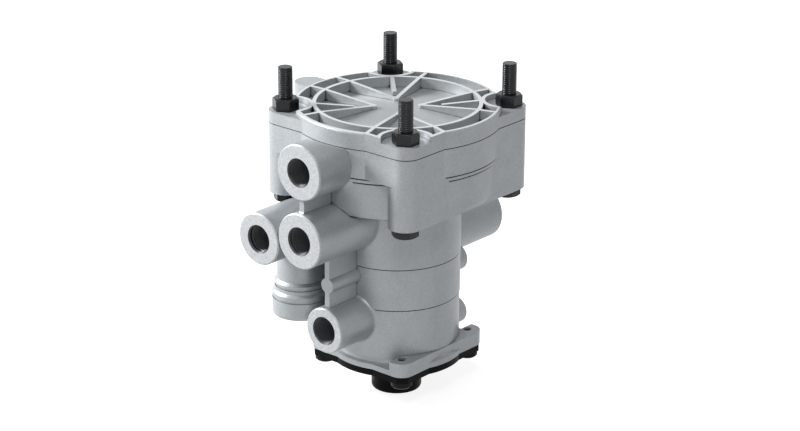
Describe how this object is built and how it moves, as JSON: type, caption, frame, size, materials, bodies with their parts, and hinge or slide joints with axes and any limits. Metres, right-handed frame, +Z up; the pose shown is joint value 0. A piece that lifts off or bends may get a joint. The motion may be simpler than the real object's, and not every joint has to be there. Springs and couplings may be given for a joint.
{
  "type": "trailer control valve",
  "caption": "Cast aluminium pneumatic relay valve with a ribbed cover, long cover bolts, tubular ports, a side cylinder and a black exhaust stub.",
  "frame": {"origin": "centre of the square of four mounting studs, on top of their nuts", "axes": "+Z up along the main bore and the studs, away from the valve; the front ports point to -Y and the rear port to +Y"},
  "size_m": [0.1312, 0.1534, 0.1901],
  "materials": {
    "cast_aluminium": "die cast and finely blasted",
    "machined_aluminium": "turned and anodised",
    "brass": "turned",
    "black_steel": "black zinc plated, satin",
    "spring_steel": "drawn wire",
    "black_plastic": "moulded glass-filled polyamide",
    "grey_plastic": "moulded acetal",
    "rubber": "moulded nitrile"
  },
  "bodies": {
    "housing": {"valve_body": "cast_aluminium", "top_cover": "cast_aluminium", "cover_bolts": "black_steel", "cover_nuts": "black_steel", "cover_seal": "rubber", "stem_seal": "rubber", "control_spring": "spring_steel", "relay_spring": "spring_steel", "valve_seat_insert": "machined_aluminium", "seat_insert_seal": "rubber", "valve_spring": "spring_steel", "valve_guide": "grey_plastic", "guide_outer_seal": "rubber", "guide_inner_seal": "rubber", "bottom_cover": "black_plastic", "bottom_screws": "black_steel", "exhaust_stub": "black_plastic", "exhaust_flap": "rubber", "throttle_spring": "spring_steel", "throttle_cap": "machined_aluminium", "throttle_cap_seal": "rubber", "snap_ring": "spring_steel"},
    "upper_piston": {"control_piston": "machined_aluminium", "control_piston_seal": "rubber"},
    "lower_piston": {"relay_piston": "machined_aluminium", "relay_piston_seal": "rubber"},
    "inlet_valve": {"valve_tube": "brass", "valve_disc": "rubber"},
    "side_piston": {"throttle_piston": "brass", "throttle_piston_seal": "rubber"}
  },
  "joints": [
    {"name": "control_stroke", "type": "slide", "parent": "housing", "child": "upper_piston", "axis": [0, 0, 1], "range_m": [-0.004, 0], "stiffness_N_per_m": 1500, "springref_m": 0.004, "deforming": ["control_spring"]},
    {"name": "relay_stroke", "type": "slide", "parent": "housing", "child": "lower_piston", "axis": [0, 0, 1], "range_m": [-0.004, 0], "stiffness_N_per_m": 800, "springref_m": 0.004, "deforming": ["relay_spring"]},
    {"name": "inlet_lift", "type": "slide", "parent": "housing", "child": "inlet_valve", "axis": [0, 0, 1], "range_m": [-0.0024, 0], "stiffness_N_per_m": 1000, "springref_m": 0.004, "deforming": ["valve_spring"]},
    {"name": "throttle_stroke", "type": "slide", "parent": "housing", "child": "side_piston", "axis": [0, 0, 1], "range_m": [-0.0035, 0], "stiffness_N_per_m": 500, "springref_m": 0.003, "deforming": ["throttle_spring"]}
  ],
  "couplings": [
    {"joint": "relay_stroke", "follows": "control_stroke", "ratio": 1},
    {"joint": "inlet_lift", "follows": "control_stroke", "ratio": 0.6}
  ]
}
